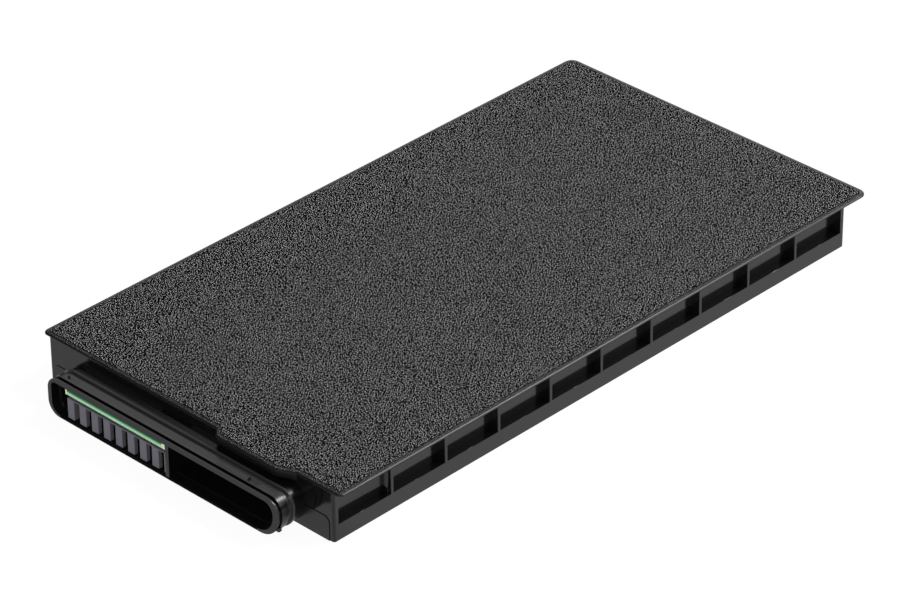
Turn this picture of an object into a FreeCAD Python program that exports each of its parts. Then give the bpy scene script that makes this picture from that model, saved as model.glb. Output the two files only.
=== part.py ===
import FreeCAD, Part
import math
import os
import re
import Sketcher

# A slide-in battery pack for a tablet. It lies with its cover up, its connector snout towards -X and its long
# sides along X. The origin is the middle of the bottom of its box, in millimetres, with Z up.

SIZES = {
    # tray: the open box with ribbed pockets down both long sides
    "tray_length": 106.8,
    "tray_width": 57.6,
    "tray_height": 7.95,
    "tray_corner": 0.4,
    "floor_thickness": 0.8,
    "end_wall": 0.9,
    "side_wall": 0.8,
    "pocket_depth": 1.4,
    "rail_height": 2.6,
    "top_flange": 1.2,
    "corner_post": 0.9,
    "rib_thickness": 0.5,
    "pocket_count": 10,
    "centre_rib_width": 0.6,
    "centre_rib_height": 3.0,
    "board_rib_width": 0.8,
    "board_rib_setback": 3.5,
    "fit_gap": 0.1,
    # cover: the grained plate on top, with a tab over the snout
    "cover_length": 110.4,
    "cover_width": 60.3,
    "cover_thickness": 0.4,
    "cover_back": 0.4,
    "cover_corner": 1.7,
    "cover_edge": 0.3,
    "tab_length": 16.0,
    "tab_offset": 13.9,
    "tab_reach": 1.4,
    "tab_left_slant": 1.3,
    "tab_right_slant": 2.8,
    "tab_drop": 0.85,
    "spigot_depth": 0.9,
    "spigot_width": 0.7,
    # snout: the round-ended nose that enters the tablet
    "snout_reach": 5.2,
    "snout_width": 46.9,
    "snout_height": 6.4,
    "snout_foot": 0.1,
    "snout_upper_corner": 2.3,
    "snout_right_corner": 3.8,
    "snout_left_corner": 2.2,
    "lip_length": 0.15,
    "lip_groove_length": 0.59,
    "lip_groove_top": 0.5,
    "lip_groove_side": 0.3,
    "lip_groove_sole": 0.05,
    "nib_width": 0.55,
    "nib_height": 0.6,
    "nib_inset": 0.48,
    "nib_rise": 1.8,
    "land_length": 1.22,
    "dip_depth": 0.3,
    "left_dip_y": 20.0,
    "left_dip_width": 1.4,
    "left_dip_reach": 0.85,
    "right_dip_y": 17.25,
    "right_dip_width": 2.3,
    "right_dip_reach": 1.0,
    "dip_corner": 0.6,
    "seal_seat_length": 1.34,
    "seal_seat_depth": 0.5,
    "neck_drop": 0.15,
    "collar_length": 0.8,
    "collar_stand": 0.12,
    "collar_gap": 40.6,
    "ramp_reach": 0.65,
    "ramp_rise": 0.3,
    "ramp_root": 0.1,
    "ramp_corner": 0.55,
    "left_ramp_y": 13.1,
    "left_ramp_length": 16.8,
    "right_ramp_y": 8.45,
    "right_ramp_length": 14.5,
    "flange_stand": 0.1,
    "flange_height": 3.75,
    "flange_border": 0.85,
    "flange_corner": 1.0,
    "socket_depth": 5.3,
    "socket_roof": 0.83,
    "socket_side": 0.95,
    "socket_sole": 0.4,
    "socket_shift": 0.2,
    "socket_mouth": 1.5,
    "socket_step": 0.4,
    "socket_left_corner": 0.9,
    "lead_length": 0.6,
    "lead_edge": 0.1,
    "divider_width": 0.7,
    "divider_offset": 1.25,
    # seal: the rubber band in the snout's groove
    "seal_thickness": 0.2,
    "seal_rib_length": 0.55,
    "seal_rib_stand": 0.1,
    # board: the protection circuit, with a tongue that carries the connector
    "board_thickness": 0.8,
    "board_height": 4.2,
    "board_length": 7.3,
    "board_side_gap": 1.1,
    "board_inset": 1.3,
    "tongue_width": 21.15,
    "tongue_recess": 0.6,
    # connector: the slotted blade socket under the tongue
    "slot_pitch": 2.5,
    "slot_width": 1.1,
    "slot_count": 8,
    "post_width": 1.4,
    "last_post_width": 0.52,
    "post_depth": 0.75,
    "channel_length": 2.2,
    "connector_recess": 0.3,
    "connector_length": 5.7,
    "connector_foot": 0.65,
    "connector_heel": 0.4,
    "connector_toe": 1.2,
    "connector_roof": 0.4,
    "connector_step_length": 0.9,
    "connector_step_drop": 0.2,
    "connector_back": 0.5,
    "leaf_thickness": 0.2,
    "leaf_length": 2.2,
    "leaf_height": 2.0,
    "leaf_foot": 1.2,
    "tail_length": 0.6,
    "tail_width": 0.4,
    # cells: two flat pouches side by side
    "cell_thickness": 5.8,
    "cell_start": 12.8,
    "cell_edge": 1.4,
    "terrace_length": 3.4,
    "terrace_thickness": 0.25,
    "terrace_inset": 1.0,
    "tape_thickness": 0.15,
    "tape_inset": 3.0,
    "foam_width": 16.0,
    "foam_inset": 8.0,
    "cell_tab_width": 4.0,
    "cell_tab_thickness": 0.15,
    "cell_tab_spacing": 10.0,
    "cell_tab_overlap": 2.4,
    "pad_length": 3.4,
    "pad_width": 5.0,
    "pad_thickness": 0.2,
    "pad_setback": 0.2,
    "sheet_thickness": 0.15,
    "sheet_margin": 0.4,
    # board components
    "chip_line": 3.1,
    "gauge_length": 2.5,
    "gauge_width": 4.0,
    "gauge_height": 0.9,
    "gauge_y": -6.0,
    "mosfet_length": 2.6,
    "mosfet_width": 3.0,
    "mosfet_height": 0.85,
    "mosfet_y": 2.4,
    "mosfet_pitch": 3.8,
    "fuse_length": 2.6,
    "fuse_width": 4.6,
    "fuse_height": 1.2,
    "fuse_y": 11.0,
    "resistor_length": 2.5,
    "resistor_width": 5.0,
    "resistor_height": 0.6,
    "resistor_y": -13.0,
    "capacitor_length": 1.6,
    "capacitor_width": 0.8,
    "capacitor_height": 0.8,
    "capacitor_pitch": 1.5,
    "capacitor_count": 4,
    "capacitor_margin": 0.6,
    "thermistor_length": 0.8,
    "thermistor_width": 1.6,
    "thermistor_height": 0.3,
}

# Places and sizes that follow from the driving ones
DERIVED = {
    "end_x": "(snout_reach - cover_length) / 2",
    "pocket_length": "(tray_length - 2 * corner_post - (pocket_count - 1) * rib_thickness) / pocket_count",
    "pocket_pitch": "pocket_length + rib_thickness",
    "pocket_height": "tray_height - top_flange - rail_height",
    "cavity_length": "tray_length - 2 * end_wall",
    "cavity_width": "tray_width - 2 * pocket_depth - 2 * side_wall",
    "snout_middle": "snout_foot + snout_height / 2",
    "nose_x": "end_x - snout_reach",
    "land_x": "nose_x + lip_length + lip_groove_length",
    "seat_x": "land_x + land_length",
    "neck_x": "seat_x + seal_seat_length",
    "snout_top": "snout_foot + snout_height",
    "neck_top": "snout_top - neck_drop",
    "socket_height": "snout_height - socket_roof - socket_sole",
    "socket_middle": "snout_foot + socket_sole + socket_height / 2",
    "socket_back": "nose_x + socket_depth",
    "socket_width": "snout_width - 2 * socket_side",
    "socket_round": "(socket_roof + socket_sole) / 2",
    "divider_face": "divider_width / 2 - divider_offset",
    "flange_width": "tray_width - 2 * flange_border",
    "board_top": "board_height + board_thickness",
    "board_width": "cavity_width - 2 * board_side_gap",
    "board_x": "end_x + board_inset",
    "board_back": "board_x + board_length",
    "tongue_x": "nose_x + tongue_recess",
    "tongue_middle": "divider_face + fit_gap + tongue_width / 2",
    "connector_x": "nose_x + connector_recess",
    "connector_width": "last_post_width + (slot_count - 1) * slot_pitch + slot_width + post_width",
    "connector_right": "divider_face + fit_gap",
    "slot_height": "board_height - connector_roof - connector_foot",
    "slot_depth": "connector_length - connector_back",
    "first_slot_y": "connector_right + last_post_width + slot_width / 2",
    "cell_width": "(cavity_width - centre_rib_width) / 2 - 2 * fit_gap",
    "cell_middle": "(centre_rib_width + cell_width) / 2 + fit_gap",
    "cell_length": "tray_length - end_wall - cell_start - 3 * fit_gap",
    "cell_x": "end_x + cell_start",
    "cell_foot": "floor_thickness + tape_thickness",
    "cell_top": "cell_foot + cell_thickness",
    "tab_seat": "board_top + pad_thickness",
    "pad_x": "board_back - pad_setback - pad_length",
    "chip_x": "end_x + chip_line",
}

doc = FreeCAD.newDocument("TabletBattery")
sheet = doc.addObject("Spreadsheet::Sheet", "Sizes")
for row, (alias, size) in enumerate(SIZES.items(), start=1):
    sheet.set(f"A{row}", alias)
    sheet.set(f"B{row}", str(size))
    sheet.setAlias(f"B{row}", alias)
doc.recompute()

PARTS = []


def refer(text):
    """Writes the names in an expression out as cells of the sheet."""

    def cell(match):
        word = match.group(0)
        if word in DERIVED:
            return "(" + refer(DERIVED[word]) + ")"
        return "Sizes." + word if word in SIZES else word

    return re.sub(r"[a-z_]+", cell, text)


def bind(thing, **expressions):
    """Binds properties to expressions, with a double underscore for each dot in a property's path."""
    for path, text in expressions.items():
        thing.setExpression(path.replace("__", "."), refer(text))


probe = doc.addObject("App::FeaturePython", "Probe")
probe.addProperty("App::PropertyFloat", "Value")


def number(text):
    """The present value of an expression, at which a sketch is first drawn."""
    bind(probe, Value=text)
    probe.recompute()
    return probe.Value


def keep(thing, label):
    """Names a finished sub-part, which is written out under that name."""
    thing.Label = label
    PARTS.append(thing)


def new_body(name):
    return doc.addObject("PartDesign::Body", name + "_body")


def origin_plane(body, role):
    return next(part for part in body.Origin.OriginFeatures if part.Role == role)


def new_sketch(body, role, name, across, up, lift):
    """Sketch on an origin plane, moved in the plane by across and up and off it by lift."""
    sketch = body.newObject("Sketcher::SketchObject", name)
    sketch.AttachmentSupport = (origin_plane(body, role), [""])
    sketch.MapMode = "FlatFace"
    bind(
        sketch,
        AttachmentOffset__Base__x=across,
        AttachmentOffset__Base__y=up,
        AttachmentOffset__Base__z=lift,
    )
    return sketch


def line(sketch, start, end):
    return sketch.addGeometry(Part.LineSegment(FreeCAD.Vector(*start, 0), FreeCAD.Vector(*end, 0)))


def arc(sketch, centre, radius, first, last):
    """Arc about a centre between two angles in degrees."""
    circle = Part.Circle(FreeCAD.Vector(*centre, 0), FreeCAD.Vector(0, 0, 1), radius)
    return sketch.addGeometry(Part.ArcOfCircle(circle, math.radians(first), math.radians(last)))


def constrain(sketch, *rules):
    for rule in rules:
        sketch.addConstraint(Sketcher.Constraint(*rule))


def measure(sketch, name, text, *rule):
    """Adds a named dimension and binds it to an expression."""
    index = sketch.addConstraint(Sketcher.Constraint(*rule, number(text)))
    sketch.renameConstraint(index, name)
    sketch.setExpression("Constraints." + name, refer(text))


START, END, CENTRE = 1, 2, 3
ORIGIN = (-1, 1)


def close_loop(sketch, sides):
    """Joins the ends of straight sides into one loop."""
    for first, second in zip(sides, sides[1:] + sides[:1]):
        constrain(sketch, ("Coincident", first, END, second, START))


def level(sketch, low, right, top, left):
    """Sets two sides level and two upright."""
    constrain(sketch, ("Horizontal", low), ("Horizontal", top), ("Vertical", right), ("Vertical", left))


def draw_rectangle(sketch, width, height):
    """Rectangle about the sketch's origin."""
    x = number(width) / 2
    y = number(height) / 2
    low = line(sketch, (-x, -y), (x, -y))
    right = line(sketch, (x, -y), (x, y))
    top = line(sketch, (x, y), (-x, y))
    left = line(sketch, (-x, y), (-x, -y))
    close_loop(sketch, [low, right, top, left])
    level(sketch, low, right, top, left)
    constrain(sketch, ("Symmetric", low, START, top, START, *ORIGIN))
    measure(sketch, "width", width, "DistanceX", low, START, low, END)
    measure(sketch, "height", height, "DistanceY", right, START, right, END)


def draw_corners(sketch, width, height, low_right, high_right, high_left, low_left):
    """Rectangle about the sketch's origin with a radius of its own on each corner, all tangent."""
    x = number(width) / 2
    y = number(height) / 2
    radii = {"low_right": low_right, "high_right": high_right, "high_left": high_left, "low_left": low_left}
    lr, hr, hl, ll = (number(radius) for radius in radii.values())
    low = line(sketch, (ll - x, -y), (x - lr, -y))
    right = line(sketch, (x, lr - y), (x, y - hr))
    top = line(sketch, (x - hr, y), (hl - x, y))
    left = line(sketch, (-x, y - hl), (-x, ll - y))
    corners = [
        arc(sketch, (x - lr, lr - y), lr, -90, 0),
        arc(sketch, (x - hr, y - hr), hr, 0, 90),
        arc(sketch, (hl - x, y - hl), hl, 90, 180),
        arc(sketch, (ll - x, ll - y), ll, 180, 270),
    ]
    sides = [low, right, top, left]
    for side, corner, following in zip(sides, corners, sides[1:] + sides[:1]):
        constrain(sketch, ("Tangent", side, END, corner, START), ("Tangent", corner, END, following, START))
    level(sketch, *sides)
    for corner, (name, radius) in zip(corners, radii.items()):
        measure(sketch, name, radius, "Radius", corner)
    measure(sketch, "to_right", f"({width}) / 2", "DistanceX", *ORIGIN, right, START)
    measure(sketch, "to_left", f"({width}) / 2", "DistanceX", left, START, *ORIGIN)
    measure(sketch, "to_top", f"({height}) / 2", "DistanceY", *ORIGIN, top, START)
    measure(sketch, "to_low", f"({height}) / 2", "DistanceY", low, START, *ORIGIN)


def draw_rounded(sketch, width, height, radius):
    """Rectangle about the sketch's origin with four equal rounded corners."""
    draw_corners(sketch, width, height, radius, radius, radius, radius)


def draw_keyed(sketch, width, height, inset):
    """Snout's outline about the sketch's origin, moved in by an inset: its two lower corners differ."""
    upper = f"snout_upper_corner - ({inset})"
    draw_corners(
        sketch,
        width,
        height,
        f"snout_left_corner - ({inset})",
        upper,
        upper,
        f"snout_right_corner - ({inset})",
    )


def draw_arched(sketch, width, height, radius):
    """Panel that stands on the sketch's origin, with rounded upper corners."""
    x = number(width) / 2
    y = number(height)
    r = number(radius)
    low = line(sketch, (-x, 0), (x, 0))
    right = line(sketch, (x, 0), (x, y - r))
    top = line(sketch, (x - r, y), (r - x, y))
    left = line(sketch, (-x, y - r), (-x, 0))
    right_corner = arc(sketch, (x - r, y - r), r, 0, 90)
    left_corner = arc(sketch, (r - x, y - r), r, 90, 180)
    constrain(
        sketch,
        ("Coincident", low, END, right, START),
        ("Tangent", right, END, right_corner, START),
        ("Tangent", right_corner, END, top, START),
        ("Tangent", top, END, left_corner, START),
        ("Tangent", left_corner, END, left, START),
        ("Coincident", left, END, low, START),
        ("Equal", right_corner, left_corner),
        ("Symmetric", low, START, low, END, *ORIGIN),
    )
    level(sketch, low, right, top, left)
    measure(sketch, "radius", radius, "Radius", right_corner)
    measure(sketch, "width", width, "DistanceX", low, START, low, END)
    measure(sketch, "height", height, "DistanceY", low, START, top, START)


def draw_trapezium(sketch, front, back, near_up, near_down, far_up, far_down):
    """Four-sided figure, upright at -front and at +back, where each side reaches its own way up and down."""
    x0 = -number(front)
    x1 = number(back)
    near = line(sketch, (x0, number(near_up)), (x0, -number(near_down)))
    lower = line(sketch, (x0, -number(near_down)), (x1, -number(far_down)))
    far = line(sketch, (x1, -number(far_down)), (x1, number(far_up)))
    upper = line(sketch, (x1, number(far_up)), (x0, number(near_up)))
    close_loop(sketch, [near, lower, far, upper])
    constrain(sketch, ("Vertical", near), ("Vertical", far))
    measure(sketch, "front", front, "DistanceX", near, START, *ORIGIN)
    measure(sketch, "back", back, "DistanceX", *ORIGIN, far, START)
    measure(sketch, "near_up", near_up, "DistanceY", *ORIGIN, near, START)
    measure(sketch, "near_down", near_down, "DistanceY", near, END, *ORIGIN)
    measure(sketch, "far_up", far_up, "DistanceY", *ORIGIN, far, END)
    measure(sketch, "far_down", far_down, "DistanceY", far, START, *ORIGIN)


def draw_slope(sketch, reach, rise):
    """Right triangle over a slope that starts at the sketch's origin and climbs towards +x."""
    x = number(reach)
    y = number(rise)
    slope = line(sketch, (0, 0), (x, y))
    top = line(sketch, (x, y), (0, y))
    wall = line(sketch, (0, y), (0, 0))
    close_loop(sketch, [slope, top, wall])
    constrain(sketch, ("Horizontal", top), ("Vertical", wall), ("Coincident", slope, START, *ORIGIN))
    measure(sketch, "reach", reach, "DistanceX", top, END, top, START)
    measure(sketch, "rise", rise, "DistanceY", wall, END, wall, START)


def pad(body, sketch, length, both_ways=False, backwards=False):
    feature = body.newObject("PartDesign::Pad", sketch.Name + "_pad")
    feature.Profile = sketch
    feature.Reversed = backwards
    feature.Midplane = both_ways
    bind(feature, Length=length)
    doc.recompute()
    return feature


def pocket(body, sketch, depth, both_ways=False, backwards=False):
    """Cuts into the body, and stops if the cut took nothing away."""
    before = body.Shape.Volume
    feature = body.newObject("PartDesign::Pocket", sketch.Name + "_pocket")
    feature.Profile = sketch
    feature.Reversed = backwards
    feature.Midplane = both_ways
    bind(feature, Length=depth)
    doc.recompute()
    if not body.Shape.Volume < before:
        raise ValueError(sketch.Name + " cuts nothing")
    return feature


def pattern(body, originals, role, count, pitch):
    """Repeats features along an origin axis."""
    feature = body.newObject("PartDesign::LinearPattern", originals[0].Name + "_row")
    feature.Originals = originals
    feature.Direction = (origin_plane(body, role), [""])
    bind(feature, Occurrences=count, Length=f"(({count}) - 1) * ({pitch})")
    body.Tip = feature
    doc.recompute()
    return feature


def round_edges(body, radius, wanted):
    """Rounds the edges of the body's last feature that the wanted test picks out."""
    base = body.Tip
    names = [f"Edge{i}" for i, edge in enumerate(base.Shape.Edges, start=1) if wanted(edge)]
    feature = body.newObject("PartDesign::Fillet", body.Name + "_round")
    feature.Base = (base, names)
    bind(feature, Radius=radius)
    doc.recompute()


def at_height(z):
    """Test for edges that lie level at a height."""
    return lambda edge: all(abs(vertex.Z - z) < 1e-4 for vertex in edge.Vertexes)


def upright_at(x, z):
    """Test for upright edges at a place along X that end at a height."""

    def wanted(edge):
        low, high = edge.BoundBox.ZMin, edge.BoundBox.ZMax
        return edge.BoundBox.XLength < 1e-4 and abs(edge.BoundBox.XMin - x) < 1e-4 and high - low > 1e-4 and (
            abs(high - z) < 1e-4 and edge.BoundBox.YLength < 1e-4
        )

    return wanted


def block(name, x, y, z, length, width, height):
    """Plain box from its low corner in X and Z and its middle in Y."""
    box = doc.addObject("Part::Box", name)
    bind(box, Length=length, Width=width, Height=height)
    bind(box, Placement__Base__x=x, Placement__Base__y=f"({y}) - ({width}) / 2", Placement__Base__z=z)
    return box


def group(label, members):
    """Separate like pieces kept under one name."""
    compound = doc.addObject("Part::Compound", label + "_group")
    compound.Links = members
    keep(compound, label)


def make_tray():
    """Moulded box: cavity for the cells, ribbed pockets outside, a notch for the snout's flange."""
    body = new_body("tray")
    middle = "end_x + tray_length / 2"
    outline = new_sketch(body, "XY_Plane", "tray_outline", middle, "0", "0")
    draw_rounded(outline, "tray_length", "tray_width", "tray_corner")
    pad(body, outline, "tray_height")
    cavity = new_sketch(body, "XY_Plane", "tray_cavity", middle, "0", "tray_height")
    draw_rectangle(cavity, "cavity_length", "cavity_width")
    pocket(body, cavity, "tray_height - floor_thickness")
    for side, lift, backwards in (("near", "tray_width / 2", False), ("far", "-tray_width / 2", True)):
        window = new_sketch(
            body,
            "XZ_Plane",
            f"side_pocket_{side}",
            "end_x + corner_post + pocket_length / 2",
            "rail_height + pocket_height / 2",
            lift,
        )
        draw_rectangle(window, "pocket_length", "pocket_height")
        first = pocket(body, window, "pocket_depth", backwards)
        pattern(body, [first], "X_Axis", "pocket_count", "pocket_pitch")
    notch = new_sketch(body, "YZ_Plane", "flange_notch", "0", "0", "end_x + end_wall")
    draw_arched(notch, "flange_width", "flange_height", "flange_corner")
    pocket(body, notch, "end_wall")
    mouth = new_sketch(body, "YZ_Plane", "snout_mouth", "0", "snout_middle", "end_x + end_wall")
    draw_keyed(mouth, "snout_width - 2 * neck_drop", "snout_height - 2 * neck_drop", "neck_drop")
    pocket(body, mouth, "end_wall")
    centre_start = "end_x + cell_start"
    centre_length = "tray_length - end_wall - cell_start"
    centre_rib = new_sketch(
        body, "XY_Plane", "centre_rib", f"{centre_start} + ({centre_length}) / 2", "0", "floor_thickness"
    )
    draw_rectangle(centre_rib, centre_length, "centre_rib_width")
    pad(body, centre_rib, "centre_rib_height")
    board_rib = new_sketch(
        body, "XY_Plane", "board_rib", "board_back - board_rib_width", "0", "floor_thickness"
    )
    draw_rectangle(board_rib, "board_rib_width", "board_width - 2 * board_rib_setback")
    pad(body, board_rib, "board_height - floor_thickness")
    keep(body, "housing_tray")


def make_cover():
    """Thin brim that overhangs the tray, a tab at the connector end, and a thicker back with a spigot inside."""
    body = new_body("cover")
    plate = new_sketch(body, "XY_Plane", "cover_plate", "end_x + cover_length / 2", "0", "tray_height")
    draw_rounded(plate, "cover_length", "cover_width", "cover_corner")
    pad(body, plate, "cover_thickness")
    tab = new_sketch(body, "XY_Plane", "cover_tab", "end_x", "-tab_offset", "tray_height")
    half = "tab_length / 2"
    tip_left = f"{half} - tab_left_slant"
    tip_right = f"{half} - tab_right_slant"
    draw_trapezium(
        tab, "tab_reach", "tab_reach", tip_left, tip_right, f"{half} + tab_left_slant", f"{half} + tab_right_slant"
    )
    pad(body, tab, "cover_thickness")
    round_edges(body, "cover_edge", at_height(sheet.tray_height + sheet.cover_thickness))
    lip_half = "(tab_reach - fit_gap) / 2"
    tab_lip = new_sketch(
        body, "XY_Plane", "tab_lip", f"end_x - fit_gap - {lip_half}", "-tab_offset", "tray_height"
    )
    share = "fit_gap / tab_reach"
    draw_trapezium(
        tab_lip,
        lip_half,
        lip_half,
        tip_left,
        tip_right,
        f"{half} - tab_left_slant * {share}",
        f"{half} - tab_right_slant * {share}",
    )
    pad(body, tab_lip, "tab_drop", backwards=True)
    spigot = new_sketch(body, "XY_Plane", "spigot", "end_x + tray_length / 2", "0", "tray_height")
    draw_rectangle(spigot, "cavity_length - 2 * fit_gap", "cavity_width - 2 * fit_gap")
    pad(body, spigot, "spigot_depth", backwards=True)
    hollow = new_sketch(
        body, "XY_Plane", "spigot_hollow", "end_x + tray_length / 2", "0", "tray_height - spigot_depth"
    )
    draw_rectangle(
        hollow,
        "cavity_length - 2 * fit_gap - 2 * spigot_width",
        "cavity_width - 2 * fit_gap - 2 * spigot_width",
    )
    pocket(body, hollow, "spigot_depth - cover_back", backwards=True)
    keep(body, "top_cover")


def make_ramp(body, side, y, length):
    """Low ramp on the neck that climbs to the end wall, with rounded front corners."""
    front = "end_x - ramp_reach"
    plan = new_sketch(body, "XY_Plane", side + "_ramp", f"{front} + ramp_reach / 2", y, "neck_top - ramp_root")
    draw_rectangle(plan, "ramp_reach", length)
    pad(body, plan, "ramp_root + ramp_rise")
    round_edges(body, "ramp_corner", upright_at(number(front), number("neck_top + ramp_rise")))
    over = new_sketch(body, "XZ_Plane", side + "_slope", front, "neck_top", f"-({y})")
    draw_slope(over, "ramp_reach", "ramp_rise")
    pocket(body, over, length, both_ways=True)


def make_snout():
    """Stepped round-ended nose on a flange: lip, groove, land, seal seat and neck, then the socket inside."""
    body = new_body("snout")
    flange = new_sketch(body, "YZ_Plane", "snout_flange", "0", "0", "end_x - flange_stand")
    draw_arched(flange, "flange_width", "flange_height", "flange_corner")
    pad(body, flange, "end_wall + flange_stand")
    collar_x = "end_x - collar_length"
    collar_inset = "neck_drop - collar_stand"
    collar = new_sketch(body, "YZ_Plane", "snout_collar", "0", "snout_middle", collar_x)
    draw_keyed(
        collar, f"snout_width - 2 * ({collar_inset})", f"snout_height - 2 * ({collar_inset})", collar_inset
    )
    pad(body, collar, "collar_length")
    gap = new_sketch(body, "YZ_Plane", "collar_gap_cut", "0", "snout_top", collar_x)
    draw_rectangle(gap, "collar_gap", "snout_height")
    pocket(body, gap, "collar_length", backwards=True)
    stages = (
        ("neck", "neck_x", "end_x + end_wall - neck_x", ["neck_drop"] * 3),
        ("seal_seat", "seat_x", "seal_seat_length", ["seal_seat_depth"] * 3),
        ("land", "land_x", "land_length", ["0"] * 3),
        (
            "lip_groove",
            "nose_x + lip_length",
            "lip_groove_length",
            ["lip_groove_top", "lip_groove_side", "lip_groove_sole"],
        ),
        ("lip", "nose_x", "lip_length", ["0"] * 3),
    )
    for name, start, length, (top, sides, sole) in stages:
        middle = f"snout_middle + ({sole} - {top}) / 2"
        section = new_sketch(body, "YZ_Plane", "snout_" + name, "0", middle, start)
        draw_corners(
            section,
            f"snout_width - 2 * {sides}",
            f"snout_height - {top} - {sole}",
            f"snout_left_corner - {sides}",
            f"snout_upper_corner - {top}",
            f"snout_upper_corner - {top}",
            f"snout_right_corner - {sides}",
        )
        pad(body, section, length)
    nib = new_sketch(
        body,
        "YZ_Plane",
        "snout_nib",
        "nib_inset - snout_width / 2",
        "snout_foot + nib_rise",
        "nose_x + lip_length",
    )
    draw_rectangle(nib, "nib_width", "nib_height")
    pad(body, nib, "lip_groove_length")
    for side, sign in (("left", ""), ("right", "-")):
        dip_reach = f"{side}_dip_reach + dip_corner"
        dip = new_sketch(
            body,
            "XY_Plane",
            side + "_dip",
            f"seat_x - {side}_dip_reach + ({dip_reach}) / 2",
            f"{sign}{side}_dip_y",
            "snout_top",
        )
        draw_rounded(dip, dip_reach, f"{side}_dip_width", "dip_corner")
        pocket(body, dip, "dip_depth")
        make_ramp(body, side, f"{sign}{side}_ramp_y", f"{side}_ramp_length")
    inner_corner = "snout_upper_corner - socket_round"
    hollows = (
        ("mouth", "nose_x", "socket_mouth", "0", "socket_left_corner"),
        ("socket", "nose_x + socket_mouth", "socket_depth - socket_mouth", "socket_step", inner_corner),
    )
    for name, start, depth, step, left_corner in hollows:
        middle = f"socket_middle + ({step}) / 2"
        height = f"socket_height - ({step})"
        inset = f"socket_round + ({step}) / 2"
        hollow = new_sketch(body, "YZ_Plane", name + "_hollow", "socket_shift", middle, start)
        draw_corners(
            hollow,
            f"socket_width - 2 * ({step})",
            height,
            f"snout_left_corner - ({inset})",
            left_corner,
            f"snout_upper_corner - ({inset})",
            f"snout_right_corner - ({inset})",
        )
        pocket(body, hollow, depth, backwards=True)
        divider = new_sketch(body, "YZ_Plane", name + "_divider", "-divider_offset", middle, start)
        draw_rectangle(divider, "divider_width", height)
        pad(body, divider, depth)
    left_round = "snout_left_corner - socket_round"
    right_round = "snout_right_corner - socket_round"
    lead = new_sketch(
        body,
        "XZ_Plane",
        "mouth_lead",
        "nose_x",
        "snout_foot + lead_edge",
        f"-(socket_shift + ({right_round} - ({left_round})) / 2)",
    )
    draw_slope(lead, "lead_length", "socket_sole - lead_edge")
    pocket(body, lead, f"socket_width - ({left_round}) - ({right_round})", both_ways=True)
    window_width = "tongue_width + 2 * fit_gap"
    window_foot = "snout_foot + socket_sole + socket_step"
    window_height = f"board_top + fit_gap - ({window_foot})"
    window = new_sketch(
        body,
        "YZ_Plane",
        "board_window",
        f"divider_face + ({window_width}) / 2",
        f"{window_foot} + ({window_height}) / 2",
        "socket_back",
    )
    draw_rectangle(window, window_width, window_height)
    pocket(body, window, "end_x + end_wall - socket_back", backwards=True)
    keep(body, "connector_snout")


def make_seal():
    """Rubber band that fills the seal seat, with one raised rib at its back."""
    body = new_body("seal")
    floor = "seal_seat_depth"
    base_rise = "seal_seat_depth - seal_thickness"
    bands = (
        ("seal_base", "seat_x", "seal_seat_length", base_rise),
        ("seal_rib", "neck_x - seal_rib_length", "seal_rib_length", "-seal_rib_stand"),
    )
    for name, start, length, inset in bands:
        band = new_sketch(body, "YZ_Plane", name, "0", "snout_middle", start)
        draw_keyed(band, f"snout_width - 2 * ({inset})", f"snout_height - 2 * ({inset})", inset)
        pad(body, band, length)
    bore = new_sketch(body, "YZ_Plane", "seal_bore", "0", "snout_middle", "seat_x")
    draw_keyed(bore, f"snout_width - 2 * {floor}", f"snout_height - 2 * {floor}", floor)
    pocket(body, bore, "seal_seat_length", backwards=True)
    keep(body, "snout_seal")


def make_board():
    """Circuit board behind the end wall, with a tongue into the snout."""
    body = new_body("board")
    main = new_sketch(body, "XY_Plane", "board_main", "board_x + board_length / 2", "0", "board_height")
    draw_rectangle(main, "board_length", "board_width")
    pad(body, main, "board_thickness")
    tongue_length = "board_back - tongue_x"
    tongue = new_sketch(
        body, "XY_Plane", "board_tongue", f"tongue_x + ({tongue_length}) / 2", "tongue_middle", "board_height"
    )
    draw_rectangle(tongue, tongue_length, "tongue_width")
    pad(body, tongue, "board_thickness")
    keep(body, "protection_board")


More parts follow.
